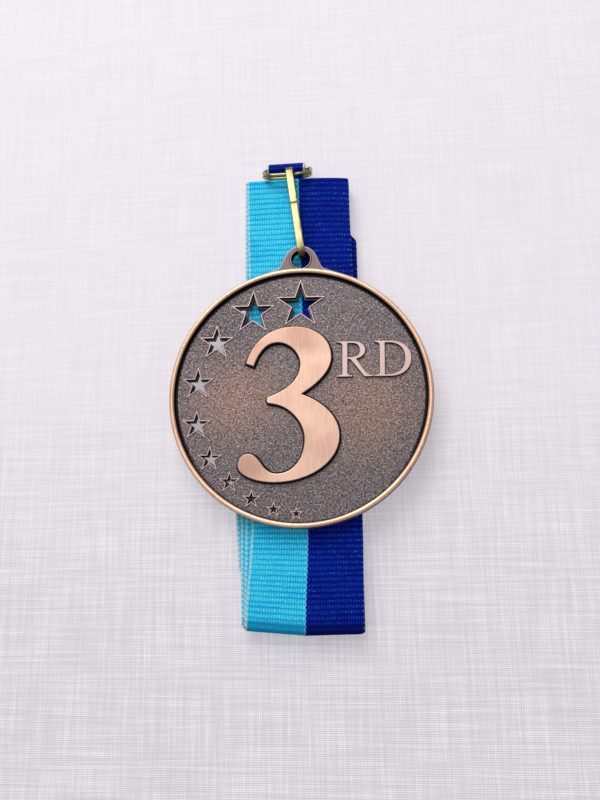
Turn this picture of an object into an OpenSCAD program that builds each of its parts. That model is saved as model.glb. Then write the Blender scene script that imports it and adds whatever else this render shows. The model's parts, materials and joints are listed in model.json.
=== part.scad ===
// Sports medal for third place, lying on its folded two-tone neck ribbon.
// Millimetres, +Z up. The origin is on the table, straight below the centre of the disc.
// +Y points from the disc to its lug, and the ribbon bundle lies along Y.

/* [Disc] */
// Diameter of the casting, without its lug
disc_d = 50; // [44:0.5:62]
// Thickness of the casting at its beaded rim
disc_t = 3; // [2.4:0.1:4]
// Width of the round bead along the rim
bead_w = 1; // [0.8:0.1:1.6]
// Flat step left outside the bead
rim_step = 0.05; // [0.02:0.01:0.2]
// Depth of the grained field below the top of the bead
field_drop = 1; // [0.7:0.1:1.2]
// Depth of the recess in the back
back_drop = 0.3; // [0.1:0.1:0.5]
// Turn of the medal on its ribbon, in degrees
medal_turn = -1.4; // [-4:0.1:4]

/* [Relief] */
// Size of the numeral and the letters, as a scale
figure_scale = 1; // [0.8:0.05:1.05]
// Height of the numeral above the field
numeral_h = 0.9; // [0.4:0.1:1]
// Height of the two letters above the field
letter_h = 0.5; // [0.2:0.1:0.8]
// Height of the stars' outlines above the field
outline_h = 0.2; // [0.1:0.05:0.4]
// Size of the stars, as a scale
star_scale = 1; // [0.8:0.05:1.05]
// Width of the stars' outlines
outline_w = 0.2; // [0.15:0.05:0.3]

/* [Lug] */
// Thickness of the lug
lug_t = 1.8; // [1.2:0.1:2]
// Height of the lug's middle above the back of the disc
lug_rise = 1.8; // [1.7:0.1:2.4]
// Diameter of the hole for the link
lug_hole_d = 3.4; // [3:0.1:4]
// Width of the bar of metal between the hole and the lug's end
lug_bar = 1.15; // [0.9:0.05:1.4]
// Gap between the rim of the disc and the hole
lug_gap = 0.05; // [0:0.05:1]
// Width of the lug's round head
lug_head_w = 6.6; // [6:0.1:8]
// Half-width of the lug's foot, measured along the rim
lug_foot = 8.2; // [6.5:0.1:9]
// Lean of the lug's straight sides, in degrees
lug_lean = 24.5; // [20:0.5:30]
// Radius of the hollow between the lug's sides and its foot
lug_hollow = 1.2; // [0.6:0.1:2]

/* [Link] */
// Width of the brass strip
link_w = 1.4; // [1.2:0.1:1.8]
// Thickness of the brass strip
link_t = 0.35; // [0.25:0.05:0.4]
// Distance between the centres of the link's two ends
link_len = 16.2; // [13:0.1:22]
// Lean of the link from the bundle's axis, in degrees
link_lean = 7; // [-3:0.5:9]
// Play between the link and what it holds
link_play = 0.25; // [0.2:0.01:0.3]
// Width of the butt seam where the strip's ends meet
seam_w = 0.15; // [0.1:0.05:0.3]

/* [Ring] */
// Diameter of the ring's wire
wire_d = 0.65; // [0.5:0.05:0.9]
// Gap between the two turns of wire
turn_gap = 0.04; // [0.03:0.01:0.1]
// Outer length of the pressed ring, across the ribbon
ring_len = 10.2; // [9.2:0.1:14]
// Outer height of the pressed ring
ring_h = 6.3; // [5:0.1:8]
// Radius of the ring's corners in the ribbon's eye, at the middle of the wire
ring_corner = 1; // [0.8:0.1:1.5]
// Offset of the ring's middle from the disc's centre, across the ribbon
ring_shift = -2.1; // [-3:0.1:3]
// Gap between the ring and the end of the bundle
ring_gap = 0.25; // [0.15:0.05:0.5]

/* [Ribbon] */
// Width of the woven ribbon
ribbon_w = 21; // [18:0.5:26]
// Thickness of the ribbon
ply_t = 0.45; // [0.35:0.05:0.5]
// Gap between two runs of the folded ribbon
ply_gap = 0.05; // [0.03:0.01:0.1]
// Length of the folded bundle
bundle_len = 89.4; // [80:0.2:120]
// Offset of the bundle's middle from the disc's centre
bundle_shift = 0.2; // [-2:0.1:2]
// Gap between the bundle and the disc
seat_gap = 0.05; // [0.02:0.01:0.2]
// Play of the ring's wires in the ribbon's sewn eye
eye_play = 0.17; // [0.1:0.01:0.3]
// Gap between the ribbon's eye and the ring's left end
eye_gap_left = 0.15; // [0.1:0.05:0.5]
// Gap between the ribbon's eye and the ring's right end
eye_gap_right = 1; // [0.1:0.05:1.5]
// Height of the ribbon's eye above the table
eye_lift = 0.1; // [0.05:0.05:0.5]
// Length of the sewn tail inside the bundle
tail_len = 14; // [10:1:20]

/* [Stitching] */
// Thickness of the sewing thread
thread_t = 0.3; // [0.2:0.05:0.4]
// Number of stitches in the row
stitches = 5; // [3:1:7]
// Length of each stitch
stitch_len = 1; // [0.8:0.1:1.2]

/* [Hidden] */

$fn = 96;
eps = 0.02;
copper = "#a5664a";
brass = "#d8cc8a";
sky_blue = "#1fb0e0";
thread_blue = "#14338c";

// Heights of the plies in the order in which the folded strip runs through them
PLY_ORDER = [0, 3, 4, 7, 6, 5, 2, 1];
plies = len(PLY_ORDER);
neck_fold = plies / 2 - 1;

// Heights of the stack
ply_pitch = ply_t + ply_gap;
stack_h = plies * ply_pitch - ply_gap;
disc_z = stack_h + seat_gap;
rim_z = disc_z + disc_t;
field_z = rim_z - field_drop;
back_z = disc_z + back_drop;
lug_mid = disc_z + lug_rise;

// Lug, in the medal's own axes
disc_r = disc_d / 2;
hole_y = disc_r + lug_gap + lug_hole_d / 2;
bar_y = hole_y + lug_hole_d / 2 + lug_bar / 2;
head_r = lug_head_w / 2;
head_y = bar_y + lug_bar / 2 - head_r;

// Link: its inner ends are circles that clear the bar and the pair of wires
bar_reach = sqrt(pow(lug_bar / 2, 2) + pow(lug_t / 2, 2));
pair_reach = wire_d + turn_gap / 2;
link_in = max(bar_reach, pair_reach) + link_play;
link_out = link_in + link_t;
link_foot = [-bar_y * sin(medal_turn), bar_y * cos(medal_turn), lug_mid];
link_head = link_foot + link_len * [-sin(link_lean), cos(link_lean), 0];

// Ring: its front strands carry the link and its back strands lie in the ribbon's eye.
// A ring that is short for its height stands up to 75 degrees and lifts the eye.
ring_span = ring_h - wire_d;
eye_in = pair_reach + eye_play;
eye_out = eye_in + ply_t;
eye_z = max(eye_out + eye_lift, lug_mid - ring_span * sin(75));
ring_tilt = asin((lug_mid - eye_z) / ring_span);
eye_pos = [ring_shift, link_head[1] + ring_span * cos(ring_tilt), eye_z];
eye_w = ring_len - 2 * wire_d - eye_gap_left - eye_gap_right;
eye_x = ring_shift + (eye_gap_left - eye_gap_right) / 2;

// Bundle: its end stays clear of the ring's leaning sides
ring_at_top = link_head[1] + (lug_mid - stack_h) / tan(ring_tilt);
bundle_top = ring_at_top - pair_reach / sin(ring_tilt) - ring_gap;
bundle_low = bundle_top - bundle_len;
fold_out = 1.5 * ply_pitch + ply_t / 2;

// Stars round the rim: direction in degrees, distance from the centre, radius of the outline's tips
STARS = [
    [90, 17.7, 5.2], [119.5, 18.7, 4.7], [147.5, 19.2, 3.7], [173.5, 19.7, 3.4], [196.5, 20.4, 3.1],
    [216, 20.8, 2.7], [232, 21, 2.3], [246, 21.5, 2], [258, 22, 1.7], [269, 22.3, 1.5]
];
star_waist = 0.382;
// A star's tips pull in by this much for each unit that its sides move in
tip_pull = 1 / sin(18);

// Places of the letters: left end of each on the base line
R_POS = [7.1, 3.15];
D_POS = [14.1, 3.15];

// One cubic curve as steps + 1 points, without its first point
function curve(a, b, c, d, steps = 8) = [
    for (i = [1 : steps])
        let (t = i / steps, s = 1 - t)
            s * s * s * a + 3 * s * s * t * b + 3 * s * t * t * c + t * t * t * d
];

// A chain of cubic curves from a flat list: start, then two handles and an end for each curve
function chain(p, steps = 8) = concat([p[0]], [
    for (i = [0 : 3 : len(p) - 4]) each curve(p[i], p[i + 1], p[i + 2], p[i + 3], steps)
]);

function arc(x, y, r, from, to, steps) = [
    for (i = [0 : steps])
        let (a = from + (to - from) * i / steps) [x + r * cos(a), y + r * sin(a)]
];

// Outline of the numeral, clockwise from the tip of its upper stroke
NUMERAL = [
    [-10.3, 5.9], [-9.1, 10.3], [-5.8, 13.1], [-1.1, 13.1], [3, 13.1], [6.05, 10.6], [6.05, 7],
    [6.05, 4.2], [3.4, 1.7], [0.4, -0.15], [4, -1.3], [7.6, -4.2], [7.6, -8], [7.6, -13], [2, -16.7],
    [-4.5, -16.7], [-7.6, -16.7], [-11.4, -15.6], [-11.4, -13.5], [-11.4, -12.2], [-10.6, -11.35],
    [-9.4, -11.35], [-8.3, -11.35], [-7.5, -12.4], [-6.8, -13.35], [-6.1, -14.4], [-5.2, -15.05],
    [-4, -15.05], [-1, -15.05], [1.05, -12.2], [1.05, -8.6], [1.05, -5.9], [-1.3, -2.9], [-4.2, -2.15],
    [-4.8, -2], [-5.3, -1.95], [-5.9, -1.85], [-6.3, -1.7], [-6.3, -0.8], [-5.9, -0.65], [-2.4, 0.6],
    [0.1, 2.6], [0.1, 5.7], [0.1, 7.7], [-1.9, 9.95], [-4.2, 9.95], [-6.5, 9.95], [-7.8, 8], [-8.75, 5.3]
];

module star(r) {
    polygon([for (i = [0 : 9])
        let (a = 90 + 36 * i, q = i % 2 == 0 ? r : r * star_waist) [q * cos(a), q * sin(a)]]);
}

module at_star(s) {
    translate([s[1] * cos(s[0]), s[1] * sin(s[0])]) children();
}

// A serifed stem, 6.85 tall, with its foot on the base line
module stem(foot_w, head_w) {
    polygon(concat(
        [[0, 0], [foot_w, 0], [foot_w, 0.22]], curve([foot_w, 0.22], [2.3, 0.25], [1.95, 0.35], [1.95, 0.8], 4),
        [[1.95, 6.85], [1.95 + head_w, 6.85], [0, 6.85], [0, 6.63]],
        curve([0, 6.63], [0.6, 6.6], [0.95, 6.5], [0.95, 6.05], 4),
        [[0.95, 0.8]], curve([0.95, 0.8], [0.95, 0.35], [0.6, 0.25], [0, 0.22], 4)));
}

module letter_r() {
    stem(2.85, 0);
    difference() {
        polygon(chain([[1.5, 6.85], [2, 6.85], [2.5, 6.85], [3, 6.85], [4.6, 6.85], [5.3, 6.1], [5.3, 5.15],
            [5.3, 4.1], [4.4, 3.4], [3, 3.4], [2.5, 3.4], [2, 3.4], [1.5, 3.4]], 6));
        polygon(chain([[1.95, 6.5], [2.2, 6.5], [2.5, 6.5], [2.8, 6.5], [3.8, 6.5], [4.25, 6], [4.25, 5.1],
            [4.25, 4.2], [3.7, 3.72], [2.8, 3.72], [2.5, 3.72], [2.2, 3.72], [1.95, 3.72]], 6));
    }
    polygon(concat([[2.45, 3.5]],
        chain([[3.55, 3.5], [4.2, 2.6], [4.9, 1.4], [5.5, 0.75], [5.8, 0.42], [6.2, 0.28], [6.7, 0.24]], 5),
        [[6.7, 0], [5.1, 0]]));
}

module letter_d() {
    stem(1.95, 0);
    difference() {
        polygon(chain([[1.5, 6.85], [2, 6.85], [2.4, 6.85], [2.9, 6.85], [5.5, 6.85], [6.9, 5.4], [6.9, 3.5],
            [6.9, 1.4], [5.3, 0], [2.9, 0], [2.4, 0], [2, 0], [1.5, 0]], 7));
        polygon(chain([[1.95, 6.5], [2.2, 6.5], [2.4, 6.5], [2.7, 6.5], [4.7, 6.5], [5.7, 5.3], [5.7, 3.45],
            [5.7, 1.5], [4.6, 0.35], [2.7, 0.35], [2.4, 0.35], [2.2, 0.35], [1.95, 0.35]], 7));
    }
}

// A raised plate that starts inside the casting and ends h above the field
module raised(h) {
    translate([0, 0, back_z + eps]) linear_extrude(field_z + h - back_z - eps) children();
}

// Section of the rim, in radius and height: a plain wall under a half-round bead
module rim_section() {
    bead_r = bead_w / 2;
    bead_x = disc_r - rim_step - bead_r;
    polygon(concat(
        [[bead_x - bead_r, disc_z], [disc_r - 0.2, disc_z], [disc_r, disc_z + 0.2], [disc_r, rim_z - bead_r]],
        arc(bead_x, rim_z - bead_r, bead_r, 0, 180, 16)));
}

// Outline of the lug: a round head, straight leaning sides and a foot that runs out along the rim
module lug_outline() {
    // The foot runs in just under the rim's wall
    foot_r = disc_r - 0.05;
    foot_a = acos(lug_foot / foot_r);
    head_at = [head_r * cos(lug_lean), head_y + head_r * sin(lug_lean)];
    foot_at = foot_r * [cos(foot_a), sin(foot_a)];
    to_head = [-sin(lug_lean), cos(lug_lean)];
    to_foot = [sin(foot_a), -cos(foot_a)];
    // The corner where a side meets the line of the foot
    gap = foot_at - head_at;
    down = (gap[0] * to_foot[1] - gap[1] * to_foot[0]) / (to_head[1] * to_foot[0] - to_head[0] * to_foot[1]);
    corner = head_at - down * to_head;
    // The hollow touches both lines
    half = acos(to_head * to_foot) / 2;
    middle = corner + lug_hollow / sin(half) * (to_head + to_foot) / norm(to_head + to_foot);
    side = concat([foot_at], arc(middle[0], middle[1], lug_hollow, 180 + foot_a, 180 + lug_lean, 8));
    head = arc(0, head_y, head_r, lug_lean, 180 - lug_lean, 24);
    root = arc(0, 0, disc_r - bead_w / 2, 180 - foot_a, foot_a, 8);
    polygon(concat(
        side, head, [for (i = [len(side) - 1 : -1 : 0]) [-side[i][0], side[i][1]]], root));
}

module lug() {
    boss_in = lug_hole_d / 2 + 0.22;
    boss_out = boss_in + 0.2;
    difference() {
        union() {
            translate([0, 0, lug_mid - lug_t / 2]) linear_extrude(lug_t) lug_outline();
            translate([0, hole_y, lug_mid]) difference() {
                cylinder(h = lug_t / 2 + 0.1, r = boss_out);
                translate([0, 0, lug_t / 2 - eps]) cylinder(h = 1, r = boss_in);
            }
        }
        translate([0, hole_y, lug_mid - lug_t]) cylinder(h = 2 * lug_t, d = lug_hole_d);
    }
}

module medal_disc() {
    color(copper) rotate([0, 0, medal_turn]) difference() {
        union() {
            rotate_extrude() rim_section();
            translate([0, 0, back_z]) cylinder(h = field_z - back_z, r = disc_r - bead_w / 2);
            lug();
            raised(numeral_h) scale(figure_scale) polygon(chain(NUMERAL));
            raised(letter_h) scale(figure_scale) translate(R_POS) letter_r();
            raised(letter_h) scale(figure_scale) translate(D_POS) letter_d();
            for (s = STARS) raised(outline_h) at_star(s) star(s[2] * star_scale);
        }
        for (s = STARS) translate([0, 0, disc_z - 1]) linear_extrude(disc_t + 2) at_star(s)
            star(s[2] * star_scale - outline_w * tip_pull);
    }
}

// One round end of the link and the straight leg that follows it
module link_half() {
    rotate_extrude(angle = 180) translate([link_in, 0]) square([link_t, link_w]);
    translate([-link_out, -link_len, 0]) cube([link_t, link_len, link_w]);
}

module strap_link() {
    color(brass) translate(link_foot) rotate([0, 0, link_lean]) rotate([0, 90, 0])
        translate([0, 0, -link_w / 2]) difference() {
            union() {
                translate([0, link_len, 0]) link_half();
                rotate([0, 0, 180]) link_half();
            }
            translate([-link_out - 1, link_len * 0.58, -1]) cube([link_t + 1 + eps, seam_w, link_w + 2]);
        }
}

// Centre line of the ring's wire in the ring's own plane: two turns that start and end beside each
// other, with one step from the first level to the second. The side in the ribbon's eye has the
// tighter corners, so that it is straight over the whole width of the eye.
function ring_path() =
    let (r = ring_span / 2, end = (ring_len - wire_d) / 2, s = end - r, h = (wire_d + turn_gap) / 2, n = 12,
         t = end - ring_corner, low = ring_corner - r,
         turn_back = concat(arc(t, low, ring_corner, 0, -90, n), arc(-t, low, ring_corner, -90, -180, n),
                            arc(-s, 0, r, 180, 90, n)))
        concat(
            level(arc(s, 0, r, 60, 0, 8), h), level(turn_back, h),
            [[0.4 * s, r, h], [0.7 * s, r, 0.5 * h], [s, r, -0.5 * h]],
            level(arc(s, 0, r, 70, 0, 8), -h), level(turn_back, -h), [[0.2 * s, r, -h]]);

function level(points, z) = [for (p = points) [p[0], p[1], z]];

function unit(v) = v / norm(v);

// A round wire with flat ends along a route of points
module wire(path, d, sides = 10) {
    last = len(path) - 1;
    rings = [for (i = [0 : last])
        let (along = unit(path[min(i + 1, last)] - path[max(i - 1, 0)]),
             out = unit(cross(along, [0, 0, 1])), up = cross(out, along))
        for (k = [0 : sides - 1])
            path[i] + d / 2 * (cos(360 * k / sides) * out + sin(360 * k / sides) * up)];
    walls = [for (i = [0 : last - 1], k = [0 : sides - 1])
        let (a = i * sides + k, b = i * sides + (k + 1) % sides) [a, a + sides, b + sides, b]];
    ends = [[for (k = [0 : sides - 1]) k], [for (k = [sides - 1 : -1 : 0]) last * sides + k]];
    polyhedron(rings, concat(walls, ends));
}

module split_ring() {
    color(brass) translate(eye_pos) rotate([180 - ring_tilt, 0, 0]) translate([0, ring_span / 2, 0])
        wire(ring_path(), wire_d);
}

function ply_z(i) = i * ply_pitch + ply_t / 2;

// One face of fold i of the strip, in distance along Y and height. Side 1 is the strip's left face.
function fold(i, side) =
    let (a = PLY_ORDER[i], b = PLY_ORDER[i + 1], r = abs(b - a) * ply_pitch / 2,
         at_low = i % 2 == 0, up = b > a, clockwise = at_low == up,
         from = up ? (at_low ? 270 : -90) : 90, turn = clockwise ? -180 : 180,
         y = at_low ? bundle_low + fold_out : bundle_top - (i == neck_fold ? r + ply_t / 2 : fold_out))
        arc(y, (ply_z(a) + ply_z(b)) / 2, r + side * (clockwise ? 1 : -1) * ply_t / 2, from, from + turn, 8);

function strip_face(side) = concat(
    [[bundle_top - fold_out, ply_z(PLY_ORDER[0]) - side * ply_t / 2]],
    [for (i = [0 : plies - 2]) each fold(i, side)],
    [[bundle_top - fold_out, ply_z(PLY_ORDER[plies - 1]) + side * ply_t / 2]]);

function reversed(v) = [for (i = [len(v) - 1 : -1 : 0]) v[i]];

// Turns a section in Y and Z into a band across X, centred on x
module across(x, w) {
    translate([x - w / 2, 0, 0]) rotate([90, 0, 90]) linear_extrude(w) children();
}

// The tail leaves the bottom of the eye and runs in under the bundle
tail_low = eye_z - 0.95 * eye_out;
tail_high = eye_z - 0.84 * eye_in;
tail_end = eye_pos[1] - sqrt(pow((eye_in + eye_out) / 2, 2) - pow(0.84 * eye_in, 2));

module neck_ribbon() {
    color(sky_blue) union() {
        across(bundle_shift, ribbon_w) polygon(concat(strip_face(1), reversed(strip_face(-1))));
        across(eye_x, eye_w) translate([eye_pos[1], eye_z]) difference() {
            circle(eye_out);
            circle(eye_in);
        }
        across(eye_x, eye_w) translate([bundle_top - tail_len, tail_low])
            square([tail_end - bundle_top + tail_len, tail_high - tail_low]);
    }
}

// A row of thread loops through the tail, between the eye and the bundle
module ribbon_stitching() {
    row_y = (bundle_top + eye_pos[1] - eye_out) / 2;
    pitch = eye_w / stitches;
    for (i = [0 : stitches - 1]) color(thread_blue)
        translate([eye_x + (i - (stitches - 1) / 2) * pitch, row_y, (tail_low + tail_high) / 2])
            rotate([90, 0, 0]) translate([0, 0, -thread_t / 2]) linear_extrude(thread_t) difference() {
                square([stitch_len, tail_high - tail_low + thread_t], center = true);
                square([stitch_len - 2 * thread_t, tail_high - tail_low - thread_t], center = true);
            }
}

medal_disc();
strap_link();
split_ring();
neck_ribbon();
ribbon_stitching();
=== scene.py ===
"""A third-place sports medal lying on its folded two-tone neck ribbon.

Lengths are in millimetres in the part's own frame, and objects are made in metres."""

import json
import math
import random

import bpy
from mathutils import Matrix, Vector
from mathutils.geometry import delaunay_2d_cdt


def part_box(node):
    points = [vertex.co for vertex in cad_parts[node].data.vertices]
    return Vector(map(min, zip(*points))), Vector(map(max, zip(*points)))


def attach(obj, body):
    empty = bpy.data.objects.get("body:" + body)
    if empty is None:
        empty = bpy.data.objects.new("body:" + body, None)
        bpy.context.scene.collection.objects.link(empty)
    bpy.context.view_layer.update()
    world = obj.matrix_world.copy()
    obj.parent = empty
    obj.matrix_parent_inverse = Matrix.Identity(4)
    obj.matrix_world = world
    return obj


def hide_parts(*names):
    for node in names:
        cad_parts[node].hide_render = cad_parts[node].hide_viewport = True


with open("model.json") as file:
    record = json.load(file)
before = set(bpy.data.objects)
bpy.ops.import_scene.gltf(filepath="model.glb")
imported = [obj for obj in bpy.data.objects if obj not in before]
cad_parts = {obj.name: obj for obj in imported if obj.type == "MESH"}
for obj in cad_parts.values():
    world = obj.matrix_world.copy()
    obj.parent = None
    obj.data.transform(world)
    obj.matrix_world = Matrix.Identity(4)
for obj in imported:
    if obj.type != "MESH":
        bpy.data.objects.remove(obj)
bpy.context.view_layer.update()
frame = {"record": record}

MM = 0.001
TAU = 2 * math.pi
CURVE_STEPS = 12


# ---------------------------------------------------------------- places taken from the frame
def box_mm(node):
    return [[v / MM for v in corner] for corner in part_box(node)]


JOINT_AT = {j["name"]: [v / MM for v in j["pos_m"]] for j in frame["record"]["behaviour"]["joints"]}
EYE_AT = JOINT_AT["ring_swing"]
LINK_HEAD = JOINT_AT["link_swing"]
LINK_FOOT = JOINT_AT["medal_swing"]

DISC_LOW, DISC_HIGH = box_mm("medal_disc")
RIBBON_LOW, RIBBON_HIGH = box_mm("neck_ribbon")
RING_LOW, RING_HIGH = box_mm("split_ring")

DISC_Z = DISC_LOW[2]
RIM_Z = DISC_HIGH[2]
DISC_R = (DISC_HIGH[0] - DISC_LOW[0]) / 2
MEDAL_TURN = -math.atan2(LINK_FOOT[0], LINK_FOOT[1])
STACK_H = RIBBON_HIGH[2]
RIBBON_W = RIBBON_HIGH[0] - RIBBON_LOW[0]
RIBBON_X = (RIBBON_HIGH[0] + RIBBON_LOW[0]) / 2

# Sizes that the visual model shares with the part and that the frame does not name
LUG_T, LUG_BAR, LUG_HOLE_R, LUG_HEAD_R = 1.8, 1.15, 1.7, 3.3
LUG_FOOT, LUG_LEAN, LUG_HOLLOW_R = 8.2, math.radians(24.5), 1.2
LINK_W, LINK_T = 1.4, 0.35
WIRE_R, HALF_TURN_STEP, RING_CORNER = 0.325, 0.345, 1.0
PLY_T, EYE_W = 0.45, 7.75
LUG_BAR_Y = math.hypot(LINK_FOOT[0], LINK_FOOT[1])

# ---------------------------------------------------------------- small tools
scene = bpy.context.scene


def mix(a, b, t):
    return a + (b - a) * t


def smooth(t):
    t = min(max(t, 0.0), 1.0)
    return t * t * (3 - 2 * t)


def arc(x, y, r, start, end, steps):
    """Points on a circle from start to end, in degrees, both included."""
    turns = [math.radians(mix(start, end, i / steps)) for i in range(steps + 1)]
    return [(x + r * math.cos(a), y + r * math.sin(a)) for a in turns]


def bezier(a, b, c, d):
    """Points on one cubic curve, without its first point."""
    found = []
    for i in range(1, CURVE_STEPS + 1):
        t = i / CURVE_STEPS
        s = 1 - t
        w = (s * s * s, 3 * s * s * t, 3 * s * t * t, t * t * t)
        found.append(tuple(w[0] * a[k] + w[1] * b[k] + w[2] * c[k] + w[3] * d[k] for k in (0, 1)))
    return found


def outline(*steps):
    """A closed outline from a list of corners; an item of three points is a curve to its last."""
    points = [steps[0]]
    for step in steps[1:]:
        if isinstance(step[0], tuple):
            points += bezier(points[-1], *step)
        else:
            points.append(step)
    return points


def area_of(loop):
    pairs = zip(loop, loop[1:] + loop[:1])
    return sum(a[0] * b[1] - b[0] * a[1] for a, b in pairs) / 2


def inset(loop, by):
    """The loop moved to its left by a small distance, mitred at its corners."""
    n = len(loop)
    moved = []
    for i, (x, y) in enumerate(loop):
        ax, ay = x - loop[i - 1][0], y - loop[i - 1][1]
        bx, by_ = loop[(i + 1) % n][0] - x, loop[(i + 1) % n][1] - y
        la, lb = math.hypot(ax, ay) or 1, math.hypot(bx, by_) or 1
        nx, ny = -ay / la - by_ / lb, ax / la + bx / lb
        size = nx * nx + ny * ny
        k = 2 * by / size if size > 0.05 else 0
        moved.append((x + nx * k, y + ny * k))
    return moved


class Build:
    """Collects vertices and faces in millimetres, with a wear and sometimes a painted fold shade at each
    vertex.
    """

    def __init__(self):
        self.verts, self.faces, self.wear, self.fold_shade = [], [], [], []

    def ring(self, points, wear):
        start = len(self.verts)
        self.verts += points
        self.wear += [wear] * len(points) if not isinstance(wear, list) else wear
        return list(range(start, start + len(points)))

    def face(self, corners):
        self.faces.append(tuple(corners))

    def bridge(self, a, b):
        n = len(a)
        for i in range(n):
            j = (i + 1) % n
            self.face((a[i], a[j], b[j], b[i]))

    def fill(self, rings, up=True):
        """A flat face bounded by the outer ring and the hole rings."""
        index = [i for r in rings for i in r]
        flat = [Vector(self.verts[i][:2]) for i in index]
        edges, at = [], 0
        for r in rings:
            edges += [(at + i, at + (i + 1) % len(r)) for i in range(len(r))]
            at += len(r)
        points, _, faces, origin, _, _ = delaunay_2d_cdt(flat, edges, [], 0, 1e-7)
        loops = [[self.verts[i][:2] for i in r] for r in rings]
        for f in faces:
            x = sum(points[i][0] for i in f) / 3
            y = sum(points[i][1] for i in f) / 3
            if sum(inside(x, y, loop) for loop in loops) % 2:
                corners = [index[origin[i][0]] for i in f]
                self.face(corners if up else corners[::-1])

    def object(self, name, material, turn=0.0, angle=40):
        c, s = math.cos(turn), math.sin(turn)
        verts = [((x * c - y * s) * MM, (x * s + y * c) * MM, z * MM) for x, y, z in self.verts]
        mesh = bpy.data.meshes.new(name)
        mesh.from_pydata(verts, [], self.faces)
        mesh.attributes.new("wear", "FLOAT", "POINT").data.foreach_set("value", self.wear)
        if self.fold_shade:
            mesh.attributes.new("fold_shade", "FLOAT", "POINT").data.foreach_set("value", self.fold_shade)
        mesh.materials.append(material)
        mesh.validate()
        mesh.shade_smooth()
        mesh.set_sharp_from_angle(angle=math.radians(angle))
        made = bpy.data.objects.new(name, mesh)
        scene.collection.objects.link(made)
        return made


def inside(x, y, loop):
    hit = False
    for (ax, ay), (bx, by) in zip(loop, loop[1:] + loop[:1]):
        if (ay > y) != (by > y) and x < (bx - ax) * (y - ay) / (by - ay) + ax:
            hit = not hit
    return hit


def at_height(loop, z):
    return [(x, y, z) for x, y in loop]


# ---------------------------------------------------------------- materials
class Nodes:
    """A thin wrapper that makes and joins shader nodes."""

    def __init__(self, name):
        self.material = bpy.data.materials.new(name)
        self.material.use_nodes = True
        self.tree = self.material.node_tree
        self.shader = self.tree.nodes["Principled BSDF"]

    def add(self, kind, inputs=(), **settings):
        node = self.tree.nodes.new("ShaderNode" + kind)
        for key, value in settings.items():
            setattr(node, key, value)
        for socket, value in dict(inputs).items():
            self.join(value, node.inputs[socket])
        return node

    def join(self, value, socket):
        if isinstance(value, bpy.types.NodeSocket):
            self.tree.links.new(value, socket)
        else:
            socket.default_value = value

    def math(self, operation, a, b=0.0, c=0.0, clamp=False):
        node = self.add("Math", operation=operation, use_clamp=clamp)
        for value, socket in zip((a, b, c), node.inputs):
            self.join(value, socket)
        return node.outputs[0]

    def ramp(self, value, low, high, to_low=0.0, to_high=1.0):
        """value, from low to high, as a smooth share between two numbers."""
        node = self.add("MapRange", interpolation_type="SMOOTHSTEP")
        for socket, number in zip(node.inputs, (value, low, high, to_low, to_high)):
            self.join(number, socket)
        return node.outputs[0]

    def blend(self, share, a, b):
        node = self.add("Mix", data_type="RGBA", clamp_factor=True)
        for value, socket in zip((share, a, b), (node.inputs[0], node.inputs[6], node.inputs[7])):
            self.join(value, socket)
        return node.outputs[2]

    def noise(self, where, scale, detail=2.0, rough=0.5):
        inputs = {"Vector": where, "Scale": scale, "Detail": detail, "Roughness": rough}
        return self.add("TexNoise", inputs).outputs["Fac"]

    def scaled(self, where, factors):
        node = self.add("VectorMath", operation="MULTIPLY")
        self.join(where, node.inputs[0])
        self.join(factors, node.inputs[1])
        return node.outputs[0]

    def distance(self, where, point):
        """Distance from a fixed point."""
        node = self.add("VectorMath", operation="DISTANCE")
        self.join(where, node.inputs[0])
        self.join(point, node.inputs[1])
        return node.outputs["Value"]

    def bump(self, height, distance, strength=1.0):
        inputs = {"Height": height, "Distance": distance, "Strength": strength}
        return self.add("Bump", inputs).outputs[0]

    def surface(self, **inputs):
        for name, value in inputs.items():
            self.join(value, self.shader.inputs[name.replace("_", " ").title()])


def linear(r, g, b):
    """An sRGB colour in 0 to 255 as the linear colour that a shader takes."""
    def one(v):
        v /= 255
        return v / 12.92 if v <= 0.04045 else ((v + 0.055) / 1.055) ** 2.4
    return (one(r), one(g), one(b), 1.0)


PATINA_BLACK = linear(26, 20, 19)
PATINA_FIELD = linear(108, 102, 104)
PATINA_WARM = linear(152, 122, 110)
COPPER_PINK = linear(206, 180, 176)
COPPER_PEACH = linear(230, 190, 168)
COPPER_HIGHLIGHT = linear(252, 206, 172)
CAST_SMOOTH = linear(100, 88, 86)
BRASS_PALE = linear(172, 164, 120)
BRASS_OLIVE = linear(104, 94, 54)
SKY_BLUE = linear(16, 192, 246)
ROYAL_BLUE = linear(0, 18, 124)
SELVEDGE = linear(206, 216, 206)


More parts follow.
